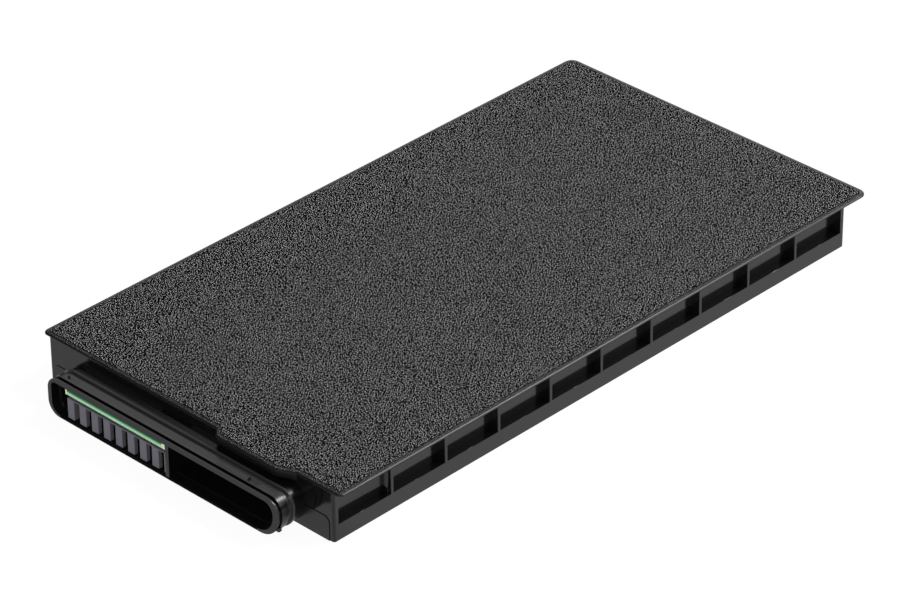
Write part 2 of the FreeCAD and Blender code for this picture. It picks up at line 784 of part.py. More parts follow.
def make_connector():
    """Blade socket: slots open at the front and below, between posts that hang free before a cross channel."""
    body = new_body("connector")
    across = "connector_right + connector_width / 2"
    height = "board_height - connector_foot"
    front = new_sketch(
        body, "YZ_Plane", "connector_block", across, f"connector_foot + ({height}) / 2", "connector_x"
    )
    draw_rectangle(front, "connector_width", height)
    pad(body, front, "connector_length")
    step = new_sketch(
        body, "YZ_Plane", "connector_step", across, "board_height - connector_step_drop / 2", "connector_x"
    )
    draw_rectangle(step, "connector_width", "connector_step_drop")
    pocket(body, step, "connector_step_length", backwards=True)
    heel = new_sketch(
        body,
        "YZ_Plane",
        "connector_heel",
        across,
        "connector_foot + connector_heel / 2",
        "connector_x + connector_toe",
    )
    draw_rectangle(heel, "connector_width", "connector_heel")
    pocket(body, heel, "connector_length - connector_toe", backwards=True)
    slot = new_sketch(
        body, "YZ_Plane", "connector_slot", "first_slot_y", "connector_foot + slot_height / 2", "connector_x"
    )
    draw_rectangle(slot, "slot_width", "slot_height")
    slot_cut = pocket(body, slot, "slot_depth", backwards=True)
    channel_width = "connector_width - last_post_width - post_width"
    channel = new_sketch(
        body,
        "YZ_Plane",
        "connector_channel",
        f"connector_right + last_post_width + ({channel_width}) / 2",
        "connector_foot + slot_height / 2",
        "connector_x + post_depth",
    )
    draw_rectangle(channel, channel_width, "slot_height")
    tail_hole = new_sketch(
        body,
        "XY_Plane",
        "tail_hole",
        "connector_x + slot_depth - tail_length / 2",
        "first_slot_y",
        "board_height",
    )
    draw_rectangle(tail_hole, "tail_length", "tail_width")
    tail_cut = pocket(body, tail_hole, "connector_roof")
    pattern(body, [slot_cut, tail_cut], "Y_Axis", "slot_count", "slot_pitch")
    pocket(body, channel, "channel_length", backwards=True)
    keep(body, "connector_housing")


def make_contacts():
    """One forked spring in each slot: two leaves against the slot's walls, a bridge and a soldered tail."""
    springs = []
    back = "connector_x + slot_depth"
    for place in range(int(sheet.slot_count)):
        middle = f"first_slot_y + {place} * slot_pitch"
        leaf_shift = "(slot_width - leaf_thickness) / 2"
        leaves = [
            block(
                f"leaf_{place}_{side}",
                f"{back} - leaf_length",
                f"{middle} {sign} {leaf_shift}",
                "leaf_foot",
                "leaf_length",
                "leaf_thickness",
                "leaf_height",
            )
            for side, sign in (("left", "+"), ("right", "-"))
        ]
        bridge = block(
            f"bridge_{place}",
            f"{back} - tail_length",
            middle,
            "leaf_foot",
            "tail_length",
            "slot_width",
            "leaf_height",
        )
        tail = block(
            f"tail_{place}",
            f"{back} - tail_length",
            middle,
            "leaf_foot",
            "tail_length",
            "tail_width",
            "board_height - leaf_foot",
        )
        spring = doc.addObject("Part::MultiFuse", f"spring_{place}")
        spring.Shapes = [*leaves, bridge, tail]
        springs.append(spring)
    group("connector_contacts", springs)


def make_cell(label, sign):
    """Pouch cell with rounded long edges and a thin sealed terrace at its tab end."""
    body = new_body(label)
    middle = f"{sign}cell_middle"
    section = new_sketch(
        body, "YZ_Plane", label + "_section", middle, "cell_foot + cell_thickness / 2", "cell_x"
    )
    draw_rounded(section, "cell_width", "cell_thickness", "cell_edge")
    pad(body, section, "cell_length")
    terrace = new_sketch(
        body,
        "YZ_Plane",
        label + "_terrace",
        middle,
        "tab_seat - terrace_thickness / 2",
        "cell_x - terrace_length",
    )
    draw_rectangle(terrace, "cell_width - 2 * terrace_inset", "terrace_thickness")
    pad(body, terrace, "terrace_length")
    keep(body, label)


def make_cell_fittings():
    """What holds the cells: tape under them, foam above them, tabs to the board and a sheet over the tabs."""
    for side, sign in (("left", "+"), ("right", "-")):
        middle = f"{sign}cell_middle"
        tape = block(
            f"tape_{side}",
            "cell_x + tape_inset",
            middle,
            "floor_thickness",
            "cell_length - 2 * tape_inset",
            "cell_width - 2 * cell_edge - 2 * tape_inset",
            "tape_thickness",
        )
        keep(tape, f"cell_tape_{side}")
        foam = block(
            f"foam_{side}",
            "cell_x + foam_inset",
            middle,
            "cell_top",
            "cell_length - 2 * foam_inset",
            "foam_width",
            "tray_height - cover_back - cell_top",
        )
        keep(foam, f"foam_strip_{side}")
    tabs = []
    pads = []
    for place, (side, way) in enumerate((("+", "+"), ("+", "-"), ("-", "+"), ("-", "-"))):
        middle = f"{side}cell_middle {way} cell_tab_spacing / 2"
        tabs.append(
            block(
                f"tab_{place}",
                "pad_x",
                middle,
                "tab_seat",
                "cell_x - terrace_length + cell_tab_overlap - pad_x",
                "cell_tab_width",
                "cell_tab_thickness",
            )
        )
        pads.append(
            block(f"pad_{place}", "pad_x", middle, "board_top", "pad_length", "pad_width", "pad_thickness")
        )
    group("cell_tabs", tabs)
    group("tab_pads", pads)
    cover_sheet = block(
        "sheet",
        "pad_x - sheet_margin",
        "0",
        "tab_seat + cell_tab_thickness",
        "cell_x - pad_x",
        "board_width",
        "sheet_thickness",
    )
    keep(cover_sheet, "insulating_sheet")


def make_components():
    """The protection circuit's parts, in one line along the board."""

    def on_board(name, y, kind):
        return block(
            name,
            f"chip_x - {kind}_length / 2",
            y,
            "board_top",
            f"{kind}_length",
            f"{kind}_width",
            f"{kind}_height",
        )

    keep(on_board("gauge", "gauge_y", "gauge"), "fuel_gauge_chip")
    keep(on_board("fuse", "fuse_y", "fuse"), "overcharge_fuse")
    keep(on_board("resistor", "resistor_y", "resistor"), "sense_resistor")
    mosfets = [
        on_board(f"mosfet_{place}", f"mosfet_y + ({place} - 0.5) * mosfet_pitch", "mosfet")
        for place in range(2)
    ]
    group("protection_mosfets", mosfets)
    first_y = "capacitor_margin + capacitor_width / 2 - board_width / 2"
    capacitors = [
        on_board(f"capacitor_{place}", f"{first_y} + {place} * capacitor_pitch", "capacitor")
        for place in range(int(sheet.capacitor_count))
    ]
    group("chip_capacitors", capacitors)
    thermistor = block(
        "thermistor",
        "board_back - thermistor_length",
        "0",
        "board_top",
        "thermistor_length",
        "thermistor_width",
        "thermistor_height",
    )
    keep(thermistor, "cell_thermistor")


make_tray()
make_cover()
make_snout()
make_seal()
make_board()
make_connector()
make_contacts()
make_cell("cell_left", "+")
make_cell("cell_right", "-")
make_cell_fittings()
make_components()
doc.recompute()

for thing in doc.Objects:
    if "Invalid" in thing.State or "Error" in thing.State:
        raise RuntimeError(f"{thing.Label} failed: {thing.State}")
for part in PARTS:
    if part.Shape.isNull() or not part.Shape.isValid():
        raise RuntimeError(f"{part.Label} has no valid shape")

os.makedirs("parts", exist_ok=True)
for part in PARTS:
    part.Shape.exportStep(f"parts/{part.Label}.step")
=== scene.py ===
"""Looks of a slide-in tablet battery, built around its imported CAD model.

Lengths in the code are millimetres until a mesh is written, which is in metres as the CAD is.
"""

import math

import bmesh
import bpy
import numpy as np
from bpy.props import FloatProperty, IntProperty, PointerProperty, StringProperty
from mathutils import Matrix, Vector


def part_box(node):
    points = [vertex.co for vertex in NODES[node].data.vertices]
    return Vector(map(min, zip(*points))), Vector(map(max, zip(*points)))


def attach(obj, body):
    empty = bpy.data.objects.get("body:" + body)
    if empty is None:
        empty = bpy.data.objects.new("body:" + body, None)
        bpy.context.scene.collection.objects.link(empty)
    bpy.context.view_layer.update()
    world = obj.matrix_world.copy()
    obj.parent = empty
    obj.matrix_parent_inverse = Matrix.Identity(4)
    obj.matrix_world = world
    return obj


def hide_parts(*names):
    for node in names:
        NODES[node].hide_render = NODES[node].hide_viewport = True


bl_info = {
    "name": "Tablet battery",
    "version": (1, 0, 0),
    "blender": (4, 5, 0),
    "location": "View3D > Sidebar > Battery",
    "description": "Dresses the CAD model of a slide-in tablet battery",
    "category": "Object",
}

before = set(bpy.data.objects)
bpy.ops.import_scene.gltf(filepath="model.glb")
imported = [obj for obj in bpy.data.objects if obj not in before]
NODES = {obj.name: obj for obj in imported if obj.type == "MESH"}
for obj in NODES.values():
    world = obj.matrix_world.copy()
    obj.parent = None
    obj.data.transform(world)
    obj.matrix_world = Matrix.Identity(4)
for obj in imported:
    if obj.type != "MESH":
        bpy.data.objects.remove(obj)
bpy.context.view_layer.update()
MM = 0.001


def node_box(node):
    """Lowest and highest corner of a CAD node, in millimetres."""
    low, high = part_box(node)
    return np.array(low) / MM, np.array(high) / MM


COVER_LOW, COVER_HIGH = node_box("top_cover")
TRAY_LOW, TRAY_HIGH = node_box("housing_tray")
SEAL_LOW, SEAL_HIGH = node_box("snout_seal")


class BatterySizes(bpy.types.PropertyGroup):
    """Sizes of the finish, in millimetres."""

    grain_pitch: FloatProperty(
        name="Grain pitch", description="Distance between pits of the cover's moulded grain", default=0.156
    )
    grain_depth: FloatProperty(
        name="Grain depth", description="Depth of the cover's moulded grain", default=0.12
    )
    cover_corner: FloatProperty(
        name="Cover corner", description="Plan radius of the cover's two far corners", default=1.4
    )
    end_corner: FloatProperty(
        name="End corner", description="Plan radius of its two corners at the snout's end", default=0.85
    )
    cover_border: FloatProperty(
        name="Cover border", description="Width of the falling border round the cover's grain", default=0.68
    )
    cover_fall: FloatProperty(
        name="Cover fall", description="Height that the border loses towards the cover's edge", default=0.12
    )
    near_fall: FloatProperty(
        name="Near fall",
        description="Height that it loses along the right side and the snout's end",
        default=0.24,
    )
    groove_depth: FloatProperty(
        name="Groove depth", description="Depth of the fine groove between grain and border", default=0.08
    )
    grain_step: FloatProperty(
        name="Grain step", description="Height of the grained field above its border", default=0.06
    )
    tray_round: FloatProperty(
        name="Tray edge", description="Rounding along the tray's edges", default=0.06
    )
    snout_round: FloatProperty(
        name="Snout edge", description="Rounding along the snout's edges", default=0.06
    )
    post_round: FloatProperty(
        name="Post edge", description="Rounding along the connector's posts", default=0.12
    )
    round_steps: IntProperty(
        name="Rounding steps", description="Faces across each rounded edge", default=3, min=1, max=8
    )


class BatteryColours(bpy.types.PropertyGroup):
    """Colours of the finishes, and of the cover grain's painted glints and painted shade, as sRGB hex values.
    """

    cover: StringProperty(name="Cover", description="Grained plastic", default="#0d0d0e")
    # Painted shade: colour of the grain's low parts, near black for the shade in its pits.
    pit_shade: StringProperty(name="Grain pit", description="Low parts of the cover's grain", default="#030303")
    # Painted glint: colour of the grain's high parts, near white, standing in for the lamps' glints on its
    # crests.
    crest_glint: StringProperty(name="Grain crest", description="High parts of the grain", default="#e0e0e2")
    # Painted glint, dimmer: colour of the high parts of the grain on the cover's border, standing in for
    # glints.
    border_glint: StringProperty(name="Border crest", description="High parts on the border", default="#606062")
    tray: StringProperty(name="Tray", description="Satin plastic of the tray", default="#0f0f10")
    snout: StringProperty(name="Snout", description="Satin plastic of the snout", default="#0a0a0b")
    seal: StringProperty(name="Seal", description="Rubber of the seal", default="#2a2a2b")
    laminate: StringProperty(name="Laminate", description="Cut edge of the board", default="#7cc993")
    ply: StringProperty(name="Ply", description="Pale glass plies of the cut edge", default="#e2f0d2")
    bare: StringProperty(name="Bare laminate", description="Routed ends of the tongue", default="#e6ebc6")
    mask: StringProperty(name="Solder mask", description="Face of the circuit board", default="#0a6b3f")
    connector: StringProperty(name="Connector", description="Blade socket's plastic", default="#5e5d66")
    gilt: StringProperty(name="Gilt", description="Plating of the contacts", default="#d6b36a")
    foil: StringProperty(name="Foil", description="Foil of the pouch cells", default="#c9cacc")
    nickel: StringProperty(name="Nickel", description="Tabs and pads", default="#b8b4aa")
    film: StringProperty(name="Film", description="Insulating sheet", default="#a8651c")
    tape: StringProperty(name="Tape", description="Tape under the cells", default="#e4e2da")
    foam: StringProperty(name="Foam", description="Foam over the cells", default="#3a3a3c")
    epoxy: StringProperty(name="Epoxy", description="Moulded chips", default="#17171a")
    ceramic: StringProperty(name="Ceramic", description="Capacitors and fuse", default="#a58a68")


def sizes():
    """Sizes that the user has set."""
    return bpy.context.scene.battery_sizes


def colour(name):
    """Linear colour of a named finish."""
    return linear(getattr(bpy.context.scene.battery_colours, name))


def linear(code):
    """Turns an sRGB hex value into a linear colour with full alpha."""
    channels = np.array([int(code[i:i + 2], 16) for i in (1, 3, 5)]) / 255
    low = channels / 12.92
    high = ((channels + 0.055) / 1.055) ** 2.4
    return (*np.where(channels <= 0.04045, low, high).tolist(), 1.0)


def add_node(tree, kind, links=(), values=(), **settings):
    """Adds a node with its settings, its socket values and the links into it."""
    node = tree.nodes.new(kind)
    for name, setting in settings.items():
        setattr(node, name, setting)
    for socket, value in dict(values).items():
        node.inputs[socket].default_value = value
    for socket, source in dict(links).items():
        tree.links.new(source, node.inputs[socket])
    return node


def new_material(name, base, roughness, **values):
    """Makes a material with one Principled shader and returns it with its tree, shader and coordinates."""
    material = bpy.data.materials.new(name)
    material.use_nodes = True
    tree = material.node_tree
    shader = tree.nodes["Principled BSDF"]
    shader.inputs["Base Color"].default_value = base
    shader.inputs["Roughness"].default_value = roughness
    for socket, value in values.items():
        shader.inputs[socket].default_value = value
    place = add_node(tree, "ShaderNodeTexCoord").outputs["Object"]
    return material, tree, shader, place


def per_metre(pitch):
    """Texture scale that repeats once in a pitch of so many millimetres."""
    return 1 / (pitch * MM)


def vary_roughness(tree, shader, place, pitch, low, high):
    """Lets roughness drift between two values over patches of a given pitch."""
    patches = add_node(
        tree, "ShaderNodeTexNoise", {"Vector": place}, {"Scale": per_metre(pitch), "Detail": 2.0}
    )
    spread = add_node(
        tree, "ShaderNodeMapRange", {"Value": patches.outputs["Fac"]}, {"To Min": low, "To Max": high}
    )
    tree.links.new(spread.outputs["Result"], shader.inputs["Roughness"])


def roughen(tree, shader, place, pitch, depth):
    """Adds a fine moulded surface: noise of a given pitch and depth as bump."""
    grain = add_node(
        tree, "ShaderNodeTexNoise", {"Vector": place}, {"Scale": per_metre(pitch), "Detail": 1.0}
    )
    bump = add_node(
        tree, "ShaderNodeBump", {"Height": grain.outputs["Fac"]}, {"Strength": 1.0, "Distance": depth * MM}
    )
    tree.links.new(bump.outputs["Normal"], shader.inputs["Normal"])


GRAIN_ROUGHNESS = 0.26
# Noise range over which the colour runs from painted shade in the pits to painted glint on the crests, and
# the exponent at its shaded end.
GRAIN_RANGE = (0.25, 0.75)
GRAIN_FADE = -15.0


def grained_abs(name, crest_glint):
    """ABS moulded against a spark-eroded tool: black, with a random grain whose crests glint.

    The grain is drawn about as coarse as it needs to be to show. Its light is painted into the colour: near
    white painted glints on the crests and near black painted shade in the pits, with brightness falling
    exponentially with depth, so that few crests are bright; on the field the specular level is painted down
    in the pits the same way. The pattern is flat, so that the edges don't change it.
    """
    material, tree, shader, place = new_material(name, colour("cover"), GRAIN_ROUGHNESS, IOR=1.5)
    pits = add_node(
        tree,
        "ShaderNodeTexNoise",
        {"Vector": place},
        {"Scale": per_metre(sizes().grain_pitch), "Detail": 0.0},
        noise_dimensions="2D",
    ).outputs["Fac"]
    bump = add_node(
        tree,
        "ShaderNodeBump",
        {"Height": pits},
        {"Strength": 1.0, "Distance": sizes().grain_depth * MM},
    )
    tree.links.new(bump.outputs["Normal"], shader.inputs["Normal"])
    height = add_node(
        tree,
        "ShaderNodeMapRange",
        {"Value": pits},
        {"From Min": GRAIN_RANGE[0], "From Max": GRAIN_RANGE[1], "To Min": GRAIN_FADE, "To Max": 0.0},
    ).outputs["Result"]
    # Painted light: 1 on the crests, falling exponentially towards 0 in the pits.
    painted_light_share = add_node(tree, "ShaderNodeMath", {0: height}, operation="EXPONENT").outputs["Value"]
    # Colour painted from shade in the pits to glint on the crests.
    painted_grain_light = add_node(
        tree,
        "ShaderNodeMix",
        {"Factor": painted_light_share},
        {"A": colour("pit_shade"), "B": colour(crest_glint)},
        data_type="RGBA",
    )
    tree.links.new(painted_grain_light.outputs["Result"], shader.inputs["Base Color"])
    # On the field the specular level is painted down in the pits too, as painted shade.
    if crest_glint == "crest_glint":
        tree.links.new(painted_light_share, shader.inputs["Specular IOR Level"])
    return material


def satin_abs(name, shade, roughness):
    """ABS from a fine-ground tool: near black, and bright only where it mirrors something pale."""
    material, tree, shader, place = new_material(name, colour(shade), roughness, IOR=1.5)
    vary_roughness(tree, shader, place, 6.0, roughness - 0.04, roughness + 0.04)
    roughen(tree, shader, place, 0.25, 0.0006)
    return material


def nitrile_rubber():
    """Moulded nitrile: black and softer in its gloss than the plastic beside it."""
    material, tree, shader, place = new_material("nitrile_rubber", colour("seal"), 0.3, IOR=1.5)
    vary_roughness(tree, shader, place, 3.0, 0.26, 0.34)
    roughen(tree, shader, place, 0.15, 0.001)
    return material


TONGUE_LEFT = 20.05
TONGUE_RIGHT = 0.45
# share of the board's thickness at which each colour of its sawn edge starts
PLY_STARTS = ((0.06, "ply"), (0.14, "laminate"), (0.3, "ply"), (0.42, "laminate"))
MASK_START = 0.66


def glass_laminate():
    """Glass-epoxy board: dark green mask on its faces, pale green sawn edges that show the plies."""
    material, tree, shader, place = new_material("glass_laminate", colour("laminate"), 0.45, IOR=1.5)
    low, high = node_box("protection_board")
    axes = add_node(tree, "ShaderNodeSeparateXYZ", {"Vector": place}).outputs
    depth = add_node(
        tree,
        "ShaderNodeMapRange",
        {"Value": axes["Z"]},
        {"From Min": low[2] * MM, "From Max": high[2] * MM},
    )
    plies = add_node(tree, "ShaderNodeValToRGB", {"Fac": depth.outputs["Result"]})
    plies.color_ramp.interpolation = "CONSTANT"
    stops = plies.color_ramp.elements
    stops[0].color = colour("laminate")
    stops[1].position = MASK_START
    stops[1].color = colour("mask")
    for position, shade in PLY_STARTS:
        stops.new(position).color = colour(shade)
    left = add_node(
        tree, "ShaderNodeMath", {0: axes["Y"]}, {1: TONGUE_LEFT * MM}, operation="GREATER_THAN"
    )
    right = add_node(
        tree, "ShaderNodeMath", {0: axes["Y"]}, {1: TONGUE_RIGHT * MM}, operation="LESS_THAN"
    )
    ends = add_node(
        tree, "ShaderNodeMath", {0: left.outputs["Value"], 1: right.outputs["Value"]}, operation="MAXIMUM"
    )
    edge = add_node(
        tree,
        "ShaderNodeMix",
        {"Factor": ends.outputs["Value"], "A": plies.outputs["Color"]},
        {"B": colour("bare")},
        data_type="RGBA",
    )
    facing = add_node(tree, "ShaderNodeNewGeometry").outputs["Normal"]
    upright = add_node(tree, "ShaderNodeSeparateXYZ", {"Vector": facing}).outputs["Z"]
    face = add_node(tree, "ShaderNodeMath", {0: upright}, {1: 0.0, 2: 0.5}, operation="COMPARE")
    both = add_node(
        tree,
        "ShaderNodeMix",
        {"Factor": face.outputs["Value"], "B": edge.outputs["Result"]},
        {"A": colour("mask")},
        data_type="RGBA",
    )
    tree.links.new(both.outputs["Result"], shader.inputs["Base Color"])
    return material


def satin_polymer(name, shade, roughness):
    """Plain moulded or cast polymer with a slightly uneven gloss."""
    material, tree, shader, place = new_material(name, colour(shade), roughness, IOR=1.5)
    vary_roughness(tree, shader, place, 2.0, roughness - 0.06, roughness + 0.06)
    roughen(tree, shader, place, 0.3, 0.002)
    return material


def bright_metal(name, shade, roughness):
    """Rolled or plated metal with faint drawn streaks."""
    material, tree, shader, place = new_material(name, colour(shade), roughness, Metallic=1.0)
    drawn = add_node(tree, "ShaderNodeMapping", {"Vector": place}, {"Scale": (0.1, 1.0, 1.0)})
    vary_roughness(tree, shader, drawn.outputs["Vector"], 0.4, roughness - 0.08, roughness + 0.08)
    return material


def finish_piece(piece, material, slot, *nodes):
    """Gives a new piece its material, lets it ride on the pack and hides the CAD nodes it stands for."""
    piece.data.materials.clear()
    piece.data.materials.append(material)
    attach(piece, "root")
    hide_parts(*nodes)


def finish_nodes(material, *nodes):
    """Gives CAD nodes, whose shape is right as it is, their material."""
    for node in nodes:
        NODES[node].data.materials.clear()
        NODES[node].data.materials.append(material)


def new_object(name, mesh):
    """Puts a mesh into the scene as an object at the origin."""
    piece = bpy.data.objects.new(name, mesh)
    bpy.context.scene.collection.objects.link(piece)
    return piece


def mesh_from_rings(name, rings):
    """Closes a stack of rings, shape (rings, points, 3) in millimetres, into a mesh with a cap at each end.

    Rings i and i + 1 are joined by quads (i, j), (i, j + 1), (i + 1, j + 1), (i + 1, j), and j goes round.
    """
    count, around = rings.shape[:2]
    i, j = np.meshgrid(np.arange(count - 1), np.arange(around), indexing="ij")
    k = (j + 1) % around
    quads = np.stack([i * around + j, i * around + k, (i + 1) * around + k, (i + 1) * around + j], -1)
    faces = quads.reshape(-1, 4).tolist()
    faces.append(np.arange(around)[::-1].tolist())
    faces.append((np.arange(around) + (count - 1) * around).tolist())
    mesh = bpy.data.meshes.new(name)
    mesh.from_pydata((rings.reshape(-1, 3) * MM).tolist(), [], faces)
    smooth_by_angle(mesh, 35)
    return mesh


def mesh_from_loop(name, rings):
    """Closes a stack of rings both ways round, as a tyre is, into a mesh with no caps."""
    count, around = rings.shape[:2]
    i, j = np.meshgrid(np.arange(count), np.arange(around), indexing="ij")
    k = (j + 1) % around
    n = (i + 1) % count
    quads = np.stack([i * around + j, i * around + k, n * around + k, n * around + j], -1)
    mesh = bpy.data.meshes.new(name)
    mesh.from_pydata((rings.reshape(-1, 3) * MM).tolist(), [], quads.reshape(-1, 4).tolist())
    smooth_by_angle(mesh, 35)
    return mesh


def smooth_by_angle(mesh, degrees):
    """Shades a mesh smooth, with edges sharper than an angle left sharp."""
    mesh.shade_smooth()
    mesh.set_sharp_from_angle(angle=math.radians(degrees))


def rounded_path(corners, radii, steps):
    """Closed path with an arc at each corner, and its outward normals, both of shape (corners * steps, 2).

    At a corner with incoming direction a and outgoing direction b that turn by an angle t, the arc starts
    r tan(t/2) before the corner and its normal swings from that of a to that of b. Corners run anticlockwise,
    so the outward normal of a direction (x, y) is (y, -x).
    """
    corners = np.asarray(corners, float)
    radii = np.asarray(radii, float)[:, None]
    ahead = np.roll(corners, -1, 0) - corners
    ahead /= np.linalg.norm(ahead, axis=1, keepdims=True)
    behind = np.roll(ahead, 1, 0)
    heading = np.arctan2(behind[:, 1], behind[:, 0])
    turn = np.arctan2(
        behind[:, 0] * ahead[:, 1] - behind[:, 1] * ahead[:, 0], (behind * ahead).sum(1)
    )
    angle = (heading - math.pi / 2)[:, None] + turn[:, None] * np.linspace(0, 1, steps)[None, :]
    normal = np.stack([np.cos(angle), np.sin(angle)], -1)
    way = np.sign(turn)[:, None]
    start = corners - behind * radii * np.tan(np.abs(turn) / 2)[:, None]
    first = normal[:, 0]
    centre = start - first * radii * way
    path = centre[:, None, :] + normal * (radii * way)[:, None, :]
    return path.reshape(-1, 2), normal.reshape(-1, 2)


def keyed_path(low, high, radii, steps):
    """Snout's outline in the Y, Z plane, with the radii of its four corners from the lower right one on."""
    (y0, z0), (y1, z1) = low, high
    return rounded_path([(y0, z0), (y1, z0), (y1, z1), (y0, z1)], radii, steps)


def rounded_profile(points, radii, steps):
    """Open profile whose inner corners are rounded by quadratic curves between tangent points.

    The curve at share s is (1 - s)^2 p + 2 s (1 - s) c + s^2 q, where c is the corner and p and q lie one
    radius before and after it.
    """
    points = np.asarray(points, float)
    radii = np.asarray(radii, float)[:, None]
    corner = points[1:-1]
    to_before = points[:-2] - corner
    to_after = points[2:] - corner
    p = corner + to_before / np.linalg.norm(to_before, axis=1, keepdims=True) * radii
    q = corner + to_after / np.linalg.norm(to_after, axis=1, keepdims=True) * radii
    s = np.linspace(0, 1, steps)[None, :, None]
    curve = (1 - s) ** 2 * p[:, None] + 2 * s * (1 - s) * corner[:, None] + s ** 2 * q[:, None]
    return np.concatenate([points[:1], curve.reshape(-1, 2), points[-1:]])


def merged_copy(node, name, width, inner_corners=True, angle=28):
    """Copy of a CAD node with its triangles joined, its flat areas made whole and its sharp edges rounded.

    Without inner_corners only the outer edges are rounded, and the flats are shaded by their area.
    """
    mesh = NODES[node].data.copy()
    mesh.name = name
    work = bmesh.new()
    work.from_mesh(mesh)
    bmesh.ops.remove_doubles(work, verts=work.verts, dist=1e-6)
    bmesh.ops.dissolve_limit(work, angle_limit=math.radians(0.5), verts=work.verts, edges=work.edges)
    share = work.edges.layers.float.new("bevel_weight_edge")
    for edge in work.edges:
        wanted = edge.is_manifold and (inner_corners or edge.is_convex)
        edge[share] = float(wanted and edge.calc_face_angle() > math.radians(angle))
    work.to_mesh(mesh)
    work.free()
    smooth_by_angle(mesh, angle)
    piece = new_object(name, mesh)
    rounding = piece.modifiers.new("edge_rounding", "BEVEL")
    rounding.width = width * MM
    rounding.segments = sizes().round_steps
    rounding.limit_method = "WEIGHT"
    rounding.harden_normals = inner_corners
    if not inner_corners:
        shading = piece.modifiers.new("face_weighting", "WEIGHTED_NORMAL")
        shading.keep_sharp = True
    return piece


TAB_ROOT = TRAY_LOW[0]
TAB_LEFT = -5.9
TAB_RIGHT = -21.9
TAB_LEFT_SLANT = 1.3
TAB_RIGHT_SLANT = 2.8
TAB_LIP = 0.85
TAB_CORNER = 1.0


def cover_outline(steps):
    """Plan of the cover with its tab: straight runs, rounded corners and a slant on each side of the tab."""
    x0, y0 = TAB_ROOT, COVER_LOW[1]
    x1, y1 = COVER_HIGH[0], COVER_HIGH[1]
    tip = COVER_LOW[0]
    corners = [
        (x0, y0),
        (x1, y0),
        (x1, y1),
        (x0, y1),
        (x0, TAB_LEFT),
        (tip, TAB_LEFT - TAB_LEFT_SLANT),
        (tip, TAB_RIGHT + TAB_RIGHT_SLANT),
        (x0, TAB_RIGHT),
    ]
    far = sizes().cover_corner
    near = sizes().end_corner
    radii = [near, far, far, near] + [TAB_CORNER] * 4
    return rounded_path(corners, radii, steps)


CORNER_STEPS = 9
BORDER_STEPS = 9
# distances inwards from the border: the groove's foot, its end, and the start of the flat field
GROOVE_FOOT = 0.06
GROOVE_END = 0.12
FIELD_START = 0.15
# strips of faces below the grained part of the border: underside, edge and steep part of the curve
BRIM_STRIPS = 6
TAB_SLACK = 0.05


class BATTERY_OT_cover(bpy.types.Operator):
    """Makes the grained cover: an edge profile carried round its plan, with the field raised inside it.

    The border is a quarter ellipse: at an angle t its inset is w (1 - cos t) and it lies f (1 - sin t) below
    its top, for a border w wide that falls by f.
    """

    bl_idname = "battery.cover"
    bl_label = "Cover"

    def execute(self, context):
        path, normal = cover_outline(CORNER_STEPS)
        foot = TRAY_HIGH[2]
        top = COVER_HIGH[2]
        step = sizes().grain_step
        border = sizes().cover_border
        near = np.clip(np.maximum(-normal[:, 0], -normal[:, 1]), 0, 1)
        fall = sizes().cover_fall + (sizes().near_fall - sizes().cover_fall) * near
        turn = np.linspace(0, math.pi / 2, BORDER_STEPS)[:, None]
        curve = border * (1 - np.cos(turn[:, 0]))
        inset = [border, 0.0, *curve, border + GROOVE_FOOT, border + GROOVE_END, border + FIELD_START]
        lowest = np.where(path[:, 0] < TAB_ROOT - TAB_SLACK, foot - TAB_LIP, foot)
        field = np.full(len(path), top)
        groove = field - step - sizes().groove_depth
        height = np.stack([lowest, lowest, *(top - step - fall * (1 - np.sin(turn))), groove, field, field])
        plan = path[None] - np.array(inset)[:, None, None] * normal[None]
        rings = np.concatenate([plan, height[:, :, None]], 2)
        mesh = mesh_from_rings("grained_cover", rings)
        piece = new_object("grained_cover", mesh)
        finish_piece(piece, grained_abs("grained_abs", "crest_glint"), "grained_plastic", "top_cover")
        # The border's grain gets a dimmer painted glint on its crests and painted shade in its pits.
        mesh.materials.append(grained_abs("grained_abs_border", "border_glint"))
        mesh.materials.append(satin_abs("satin_abs_brim", "cover", 0.32))
        border_first = BRIM_STRIPS * len(path)
        field_first = (len(rings) - 2) * len(path)
        face = np.arange(len(mesh.polygons))
        finish = np.where(face >= field_first, 0, np.where(face >= border_first, 1, 2))
        mesh.polygons.foreach_set("material_index", finish.astype(np.int32))
        return {"FINISHED"}


class BATTERY_OT_tray(bpy.types.Operator):
    """Makes the ribbed tray with rounded edges"""

    bl_idname = "battery.tray"
    bl_label = "Tray"

    def execute(self, context):
        piece = merged_copy("housing_tray", "ribbed_tray", sizes().tray_round, inner_corners=False)
        finish_piece(piece, satin_abs("satin_abs_tray", "tray", 0.13), "tray_plastic", "housing_tray")
        return {"FINISHED"}


class BATTERY_OT_snout(bpy.types.Operator):
    """Makes the stepped connector snout with rounded edges"""

    bl_idname = "battery.snout"
    bl_label = "Snout"

    def execute(self, context):
        piece = merged_copy("connector_snout", "stepped_snout", sizes().snout_round)
        finish_piece(piece, satin_abs("satin_abs_snout", "snout", 0.3), "snout_plastic", "connector_snout")
        return {"FINISHED"}


SEAL_STAND = 0.1
SEAL_THICKNESS = 0.2
SEAT_DEPTH = 0.5
BEAD_LENGTH = 0.55
SEAL_PROFILE_RADII = (0.04, 0.08, 0.26, 0.26)
SEAL_PROFILE_STEPS = 7
SEAL_CORNERS = (3.8, 2.2, 2.3, 2.3)
SEAL_CORNER_STEPS = 25


